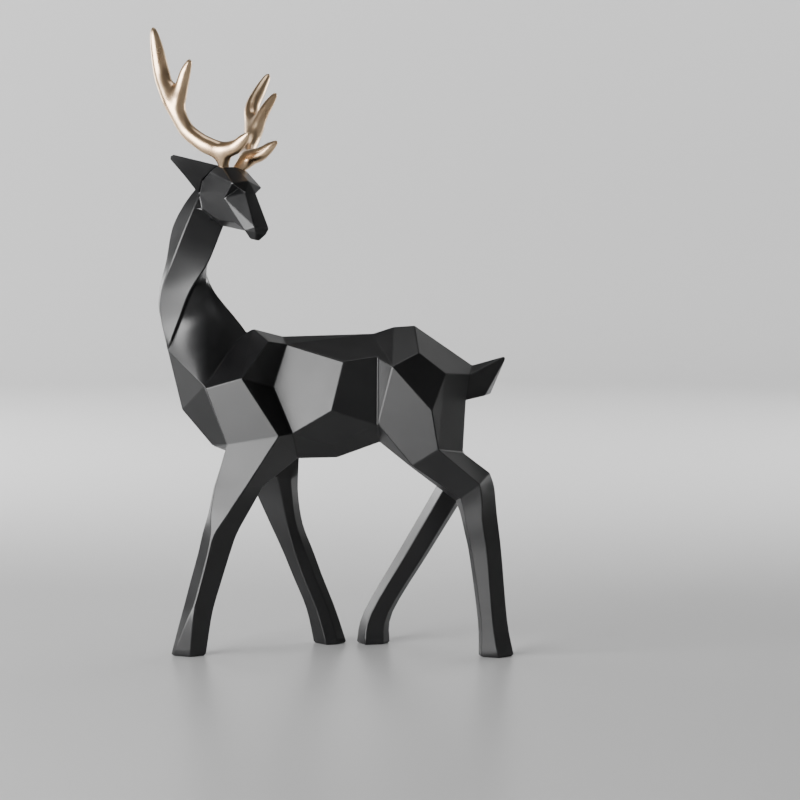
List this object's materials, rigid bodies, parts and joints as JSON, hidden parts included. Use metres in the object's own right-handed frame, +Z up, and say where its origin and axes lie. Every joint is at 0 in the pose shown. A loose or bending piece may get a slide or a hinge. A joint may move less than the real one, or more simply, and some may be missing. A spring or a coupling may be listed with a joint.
{
  "type": "geometric elk figurine",
  "caption": "Faceted standing elk that looks back over its shoulder, in satin black with branched gold antlers; a free-standing shelf ornament.",
  "frame": {"origin": "on the floor plane, below the middle of the figure's bounding box", "axes": "+Z up, +X from the breast to the tail, -Y the side that the head turns to"},
  "size_m": [0.2228, 0.1076, 0.3851],
  "materials": {
    "satin_black_resin": "satin black painted cast resin",
    "champagne_gold": "polished champagne gold plating"
  },
  "bodies": {
    "root": {"elk_body": "satin_black_resin", "antler_right": "champagne_gold", "antler_left": "champagne_gold"}
  },
  "joints": []
}
